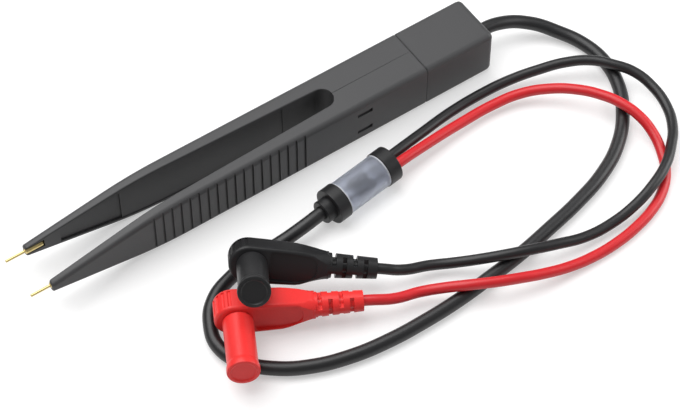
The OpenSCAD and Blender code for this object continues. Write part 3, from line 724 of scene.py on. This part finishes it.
def pick(piece, kind, test):
    """Goes to edit mode with the points, or the edges between points, that pass a test selected."""
    alone(piece)
    bpy.ops.object.mode_set(mode="EDIT")
    bpy.ops.mesh.select_mode(type=kind)
    bpy.ops.mesh.select_all(action="DESELECT")
    bpy.ops.object.mode_set(mode="OBJECT")
    points = piece.data.vertices
    if kind == "VERT":
        for point in points:
            point.select = test(point.co)
    else:
        for edge in piece.data.edges:
            edge.select = all(test(points[i].co) for i in edge.vertices)
    bpy.ops.object.mode_set(mode="EDIT")


boot_profile = [
    (head_x, head_r, -head_r, boot_half_t), (3, 5.45, -5.62, boot_half_t), (7.5, 5.25, -5.65, 3.75),
    (12.5, 4.95, -5.6, 3.62), (15, 4.6, -5.2, 3.45), (17.2, 4.15, -4.6, 3.35), (19.5, 3.9, -4, 3.5),
    (boot_end_x, 3.8, -3.8, 3.8),
]
bpy.ops.object.select_all(action="DESELECT")
bpy.ops.mesh.primitive_circle_add(
    vertices=64, radius=head_r, fill_type="NGON", location=(head_x, 0, -boot_half_t),
)
boot = bpy.context.object
boot.name = "plug_boot"
bpy.ops.object.transform_apply(location=True, rotation=True, scale=True)
bpy.ops.object.mode_set(mode="EDIT")
bpy.ops.mesh.select_all(action="SELECT")
bpy.ops.mesh.bisect(plane_co=(head_x, 0, -boot_half_t), plane_no=(1, 0, 0), clear_outer=True)
pick(boot, "EDGE", lambda p: abs(p.x - head_x) < 0.01)
for (x0, top0, low0, _), (x1, top1, low1, _) in zip(boot_profile, boot_profile[1:]):
    drift = (top1 + low1 - top0 - low0) / 2
    bpy.ops.mesh.extrude_region_move(TRANSFORM_OT_translate={"value": (x1 - x0, drift, 0)})
    bpy.ops.transform.resize(value=(1, (top1 - low1) / (top0 - low0), 1),
                             center_override=(x1, (top1 + low1) / 2, -boot_half_t))
bpy.ops.mesh.select_mode(type="FACE")
bpy.ops.mesh.select_all(action="SELECT")
bpy.ops.mesh.extrude_region_move(TRANSFORM_OT_translate={"value": (0, 0, 2 * boot_half_t)})
bpy.ops.mesh.select_all(action="SELECT")
bpy.ops.mesh.normals_make_consistent(inside=False)
for x, _, _, depth in boot_profile[2:]:
    pick(boot, "VERT", lambda p: abs(p.x - x) < 0.01)
    bpy.ops.transform.resize(value=(1, 1, depth / boot_half_t), center_override=(x, 0, 0))
bpy.ops.object.mode_set(mode="OBJECT")


def boot_edge(a, b):
    across = abs(a.x - b.x) < 0.005 and a.y * b.y < 0 or a.z * b.z < 0
    at_end = a.x + b.x > 2 * boot_end_x - 0.1
    return 0 if across and not at_end else boot_edge_r


soften(boot, boot_edge, boot_edge_r, 5)
waist = turned("waist", [(9, -9), (9, 9), (6.6, 12.5), (5, 17), (4.3, 19.5), (4, 21), (3.9, 23)], 96)
waist.rotation_euler = (0, math.pi / 2, 0)
combine(boot, waist, "INTERSECT")
panel_outline = ((5, -4.5, 4.5), (12.5, -4.75, 4.05), (17.2, -3.65, 3.2), (18.4, -1.9, 1.6))
for low_z, high_z in ((-7, -panel_floor), (panel_floor, 7)):
    panel = loft("panel", [(x, low, top, low_z, high_z) for x, low, top in panel_outline])
    soften(panel, lambda a, b: panel_corner_r if abs(a.z - b.z) > 1 else 0, panel_corner_r, 4)
    combine(boot, panel, "DIFFERENCE")
rim = boot.modifiers.new("rim", "BEVEL")
rim.limit_method = "ANGLE"
rim.angle_limit = math.radians(50)
rim.width = rim_r
rim.segments = 2
bpy.ops.object.modifier_apply(modifier=rim.name)

bpy.ops.object.select_all(action="DESELECT")
bpy.ops.mesh.primitive_cone_add(
    vertices=48, radius1=relief_start_r, radius2=relief_end_r, depth=relief_end_x - relief_start_x,
    location=((relief_start_x + relief_end_x) / 2, 0, 0), rotation=(0, math.pi / 2, 0),
)
combine(boot, bpy.context.object, "UNION")
slot_pitch = (relief_end_x - boot_end_x) / (relief_slots + 0.5)
for ring in range(relief_slots):
    for side in (-1, 1):
        bpy.ops.object.select_all(action="DESELECT")
        bpy.ops.mesh.primitive_cube_add(size=1, scale=(relief_slot_w, 6, 12), location=(0, side * 4.2, 0))
        notch = bpy.context.object
        bpy.ops.object.transform_apply(location=True, rotation=True, scale=True)
        bpy.ops.object.select_all(action="DESELECT")
        bpy.ops.mesh.primitive_cylinder_add(
            vertices=32, radius=relief_core_r, depth=4, rotation=(0, math.pi / 2, 0),
        )
        combine(notch, bpy.context.object, "DIFFERENCE")
        notch.rotation_euler = (math.pi / 2 * (ring % 2), 0, 0)
        notch.location = (boot_end_x + (ring + 0.4) * slot_pitch, 0, 0)
        combine(boot, notch, "DIFFERENCE")
for flute in range(flute_count):
    angle = math.pi / 2 + math.pi * (flute + 0.5) / flute_count
    out = head_r + flute_out
    bpy.ops.object.select_all(action="DESELECT")
    bpy.ops.mesh.primitive_cylinder_add(
        vertices=24, radius=flute_r, depth=flute_len,
        location=(head_x + out * math.cos(angle), out * math.sin(angle), 0),
    )
    combine(boot, bpy.context.object, "DIFFERENCE")

red_moulding = grained(
    "red_moulding", (0.8, 0.034, 0.032), size=2200, shade=0.3, roughness=0.34, bump=0.15, specular=0.3,
)
mouldings = {"black": black_moulding, "red": red_moulding}
heads = {}
boots = {}
for name, turn in plug_turns.items():
    heads[name] = Vector(lead_routes[name][-1]) - turn.to_matrix() @ Vector((relief_end_x, 0, 0))
    alone(boot)
    bpy.ops.object.duplicate()
    boots[name] = bpy.context.object
    boots[name].name = name + "_boot_skin"
    settle(boots[name], heads[name], turn)
    finish_with(boots[name], mouldings[name])
    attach(boots[name], "body")
    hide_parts(name + "_plug_boot")
bpy.data.objects.remove(boot)

# Sheaths and contacts: each plug has a turned brass contact with a nickel plate, slit so that it springs.
# It stands in a moulded shroud in the plug's colour, under the dust cap.
nickel_plate = grained(
    "nickel_plate", (0.72, 0.7, 0.66), size=1500, shade=0.2, roughness=0.25, bump=0.08, metallic=1,
)
for name, material in mouldings.items():
    finish_with(cad[name + "_plug_sheath"], material)
    finish_with(cad[name + "_plug_pin"], nickel_plate)

# Dust caps: thin moulded cups in the plugs' colours, with a flared rim and a dished end.
# They are pushed over the shrouds of the plugs and pull straight off.
dust_bore_r = 3.95
dust_r = 4.4
dust_rim_r = 4.7
dust_len = 18.5
dust_gap = 0.2
caps = {}
for name, turn in plug_turns.items():
    caps[name] = turned(name + "_cap_skin", [
        (dust_bore_r, 16.9), (dust_bore_r, 0), (dust_r - 0.15, 0), (dust_r, 0.2), (dust_r, 15.6), (4.5, 16),
        (4.65, 16.6), (dust_rim_r, 17), (dust_rim_r, dust_len - 0.4), (4.6, dust_len - 0.1), (4.35, dust_len),
        (3.75, dust_len), (3.45, dust_len - 0.3), (3.2, dust_len - 0.4),
    ])
    way = turn.to_matrix() @ Vector((0, 0, boot_half_t + dust_gap))
    settle(caps[name], heads[name] + way, turn)
    finish_with(caps[name], mouldings[name])
    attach(caps[name], name + "_cap")
    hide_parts(name + "_dust_cap")
